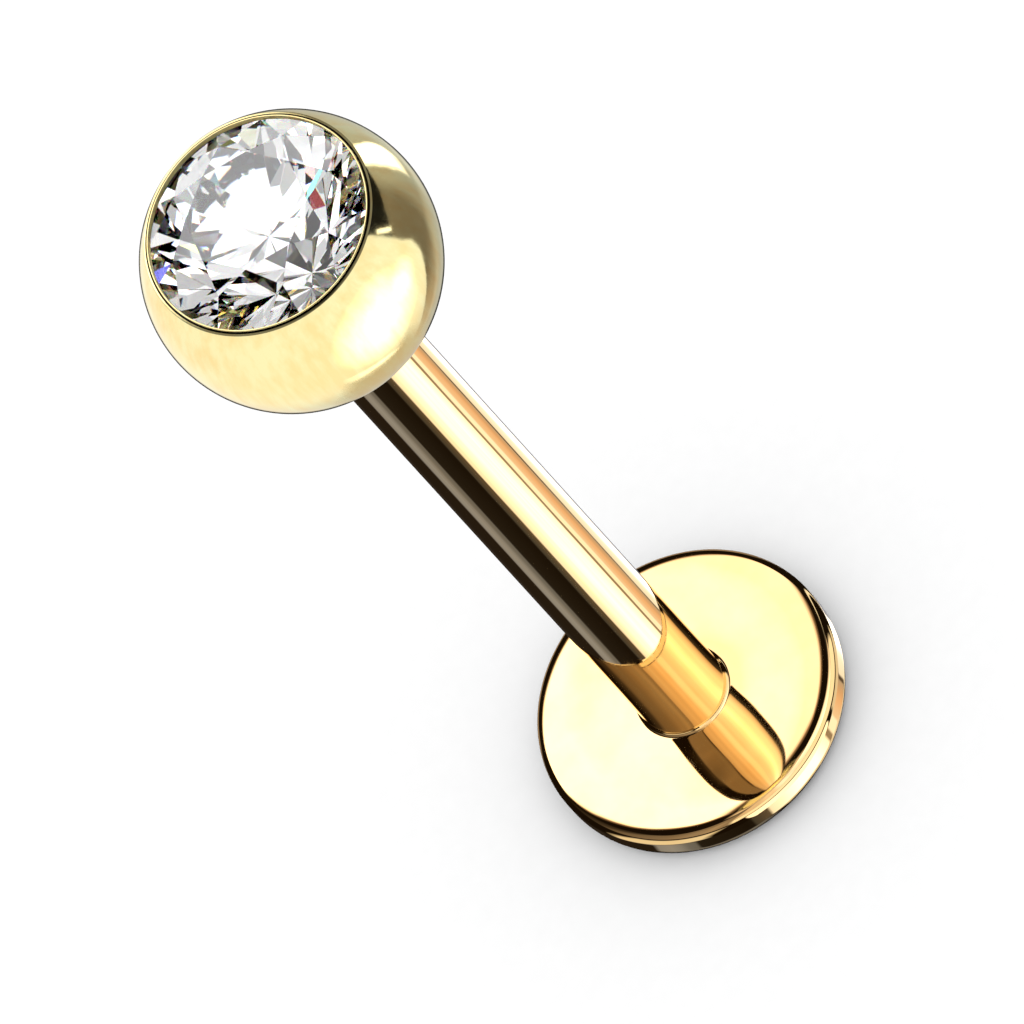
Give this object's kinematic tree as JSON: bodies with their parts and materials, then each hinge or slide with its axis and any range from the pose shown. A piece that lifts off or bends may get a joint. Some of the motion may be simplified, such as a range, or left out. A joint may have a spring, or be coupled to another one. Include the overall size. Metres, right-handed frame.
{
  "type": "labret stud",
  "caption": "Straight lip stud: a round post on a flat disc, with a removable ball set with a round brilliant crystal.",
  "frame": {"origin": "middle of the back of the disc, on the surface that the stud stands on", "axes": "+Z along the post, from the disc to the ball and crystal; +X and +Y are alike, and two main facets of the crystal lie 8 degrees on from them"},
  "size_m": [0.0044, 0.0044, 0.0162],
  "materials": {
    "polished_gold_steel": "gold-plated steel, mirror polished",
    "buffed_gold_steel": "gold-plated steel, polished with faint buffing marks",
    "cubic_zirconia": "clear, brilliant cut"
  },
  "bodies": {
    "post": {"labret_post": "polished_gold_steel"},
    "ball": {"ball": "buffed_gold_steel", "crystal": "cubic_zirconia"}
  },
  "joints": [
    {"name": "ball_unscrew", "type": "slide", "parent": "post", "child": "ball", "axis": [0, 0, 1], "range_m": [0, 0.002]}
  ]
}
